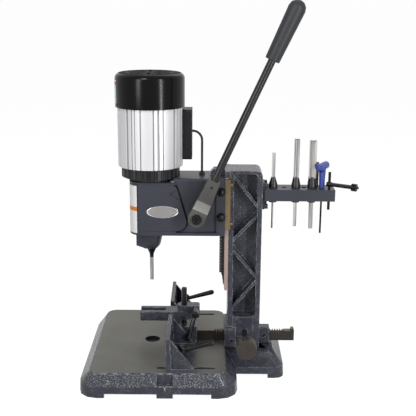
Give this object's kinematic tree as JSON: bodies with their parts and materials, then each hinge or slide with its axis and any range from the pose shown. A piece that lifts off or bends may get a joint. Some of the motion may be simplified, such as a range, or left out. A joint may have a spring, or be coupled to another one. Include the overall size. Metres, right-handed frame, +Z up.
{
  "type": "benchtop mortiser",
  "caption": "Lever-fed benchtop mortiser: a motor head slides down a column and drives a hollow square chisel over a table with a rack-moved fence.",
  "frame": {"origin": "middle of the whole machine in plan, on the bench under its feet", "axes": "+Z up, the operator stands at -X, the column and tool holder are at +X, the feed handle is on the -Y side"},
  "size_m": [0.6534, 0.416, 0.8933],
  "materials": {
    "hammer_paint": "hammered blue-grey enamel",
    "head_paint": "smooth blue-grey enamel",
    "ground_iron": "ground and oiled",
    "bright_steel": "ground bright",
    "black_steel": "blackened",
    "black_paint": "gloss black enamel",
    "cast_aluminium": "satin silver",
    "bronze": "dull bronze",
    "black_rubber": "matte",
    "blue_plastic": "satin",
    "red_plastic": "gloss",
    "copper": "varnished winding",
    "pale_wood": "plain",
    "black_plastic": "satin"
  },
  "bodies": {
    "frame": {"base_casting": "hammer_paint", "column_casting": "hammer_paint", "column_way": "ground_iron", "head_rack": "black_steel", "stop_bolt": "black_steel", "guide_screw_rear": "black_steel", "guide_screw_front": "black_steel", "tool_holder": "hammer_paint"},
    "head": {"head_casting": "head_paint", "keeper_near": "bronze", "keeper_far": "bronze", "gib_screw_upper": "black_steel", "gib_screw_lower": "black_steel", "shaft_bush_near": "bronze", "shaft_bush_far": "bronze", "door_hinge_pin": "bright_steel", "motor_end_bell": "black_paint", "motor_body": "cast_aluminium", "motor_stator": "copper", "motor_fan_cover": "black_paint", "bearing_lower": "bright_steel", "bearing_upper": "bright_steel", "capacitor_box": "black_plastic", "motor_lead": "black_rubber", "cable_gland": "black_plastic", "hollow_chisel": "bright_steel", "chisel_bushing": "bright_steel", "chisel_set_screw": "black_steel", "switch_box": "black_plastic"},
    "spindle": {"motor_shaft": "bright_steel", "cooling_fan": "black_plastic", "drill_chuck": "black_steel", "auger_bit": "bright_steel"},
    "handle": {"feed_gear": "black_steel", "feed_shaft": "bright_steel", "handle_arm": "head_paint", "handle_hub_screw": "black_steel", "handle_rod": "black_steel", "handle_grip": "black_rubber"},
    "door": {"chuck_door": "head_paint"},
    "stop_paddle": {"switch_paddle": "red_plastic"},
    "fence": {"fence_casting": "hammer_paint", "fence_bar": "black_steel", "lock_stud_near": "black_steel", "lock_stud_far": "black_steel", "hold_down_post": "black_steel"},
    "near_lever": {"lock_lever_near": "black_paint"},
    "far_lever": {"lock_lever_far": "black_paint"},
    "hold_down": {"hold_down_fork": "hammer_paint"},
    "clamp_lever": {"hold_down_lever": "black_paint"},
    "knob": {"knob_shaft": "bright_steel", "fence_knob": "black_steel"},
    "small_chisel": {"stored_chisel_small": "bright_steel"},
    "medium_chisel": {"stored_chisel_medium": "bright_steel"},
    "large_chisel": {"stored_chisel_large": "bright_steel"},
    "hex_key": {"hex_key_handle": "blue_plastic", "hex_key_shank": "black_steel"},
    "key_for_chuck": {"chuck_key": "black_steel"},
    "stick": {"wooden_stick": "pale_wood"}
  },
  "joints": [
    {"name": "head_slide", "type": "slide", "parent": "frame", "child": "head", "axis": [0, 0, 1], "range_m": [-0.115, 0]},
    {"name": "handle_swing", "type": "hinge", "parent": "head", "child": "handle", "pos_m": [-0.0541, 0, 0.4015], "axis": [0, 1, 0], "range_deg": [-115, 0]},
    {"name": "spindle_spin", "type": "hinge", "parent": "head", "child": "spindle", "pos_m": [-0.1657, 0, 0.42], "axis": [0, 0, 1], "continuous": true},
    {"name": "door_swing", "type": "hinge", "parent": "head", "child": "door", "pos_m": [-0.1857, -0.0535, 0.414], "axis": [0, 0, -1], "range_deg": [0, 110]},
    {"name": "paddle_press", "type": "hinge", "parent": "head", "child": "stop_paddle", "pos_m": [-0.1517, 0.0813, 0.44], "axis": [-1, 0, 0], "range_deg": [0, 3], "stiffness_Nm_per_rad": 0.3, "springref_deg": -5.73},
    {"name": "fence_slide", "type": "slide", "parent": "frame", "child": "fence", "axis": [1, 0, 0], "range_m": [-0.025, 0.06]},
    {"name": "knob_turn", "type": "hinge", "parent": "frame", "child": "knob", "pos_m": [0.0653, 0, 0.096], "axis": [0, 1, 0], "range_deg": [-246, 103]},
    {"name": "near_lever_turn", "type": "hinge", "parent": "fence", "child": "near_lever", "pos_m": [-0.0857, -0.166, 0.1], "axis": [0, 0, -1], "range_deg": [-40, 60]},
    {"name": "far_lever_turn", "type": "hinge", "parent": "fence", "child": "far_lever", "pos_m": [-0.0857, 0.166, 0.1], "axis": [0, 0, 1], "range_deg": [-40, 60]},
    {"name": "hold_down_slide", "type": "slide", "parent": "fence", "child": "hold_down", "axis": [0, 0, 1], "range_m": [-0.003, 0.035]},
    {"name": "clamp_lever_turn", "type": "hinge", "parent": "hold_down", "child": "clamp_lever", "pos_m": [-0.0567, 0, 0.145], "axis": [0, 1, 0], "range_deg": [-45, 10]},
    {"name": "small_chisel_lift", "type": "slide", "parent": "frame", "child": "small_chisel", "axis": [0, 0, 1], "range_m": [0, 0.11]},
    {"name": "medium_chisel_lift", "type": "slide", "parent": "frame", "child": "medium_chisel", "axis": [0, 0, 1], "range_m": [0, 0.11]},
    {"name": "large_chisel_lift", "type": "slide", "parent": "frame", "child": "large_chisel", "axis": [0, 0, 1], "range_m": [0, 0.11]},
    {"name": "hex_key_lift", "type": "slide", "parent": "frame", "child": "hex_key", "axis": [0, 0, 1], "range_m": [0, 0.12]},
    {"name": "chuck_key_lift", "type": "slide", "parent": "frame", "child": "key_for_chuck", "axis": [0, 0, 1], "range_m": [0, 0.06]},
    {"name": "stick_lift", "type": "slide", "parent": "frame", "child": "stick", "axis": [0, 0, 1], "range_m": [0, 0.06]}
  ],
  "couplings": [
    {"joint": "handle_swing", "follows": "head_slide", "rad_per_m": 17.391},
    {"joint": "knob_turn", "follows": "fence_slide", "rad_per_m": -71.429}
  ]
}
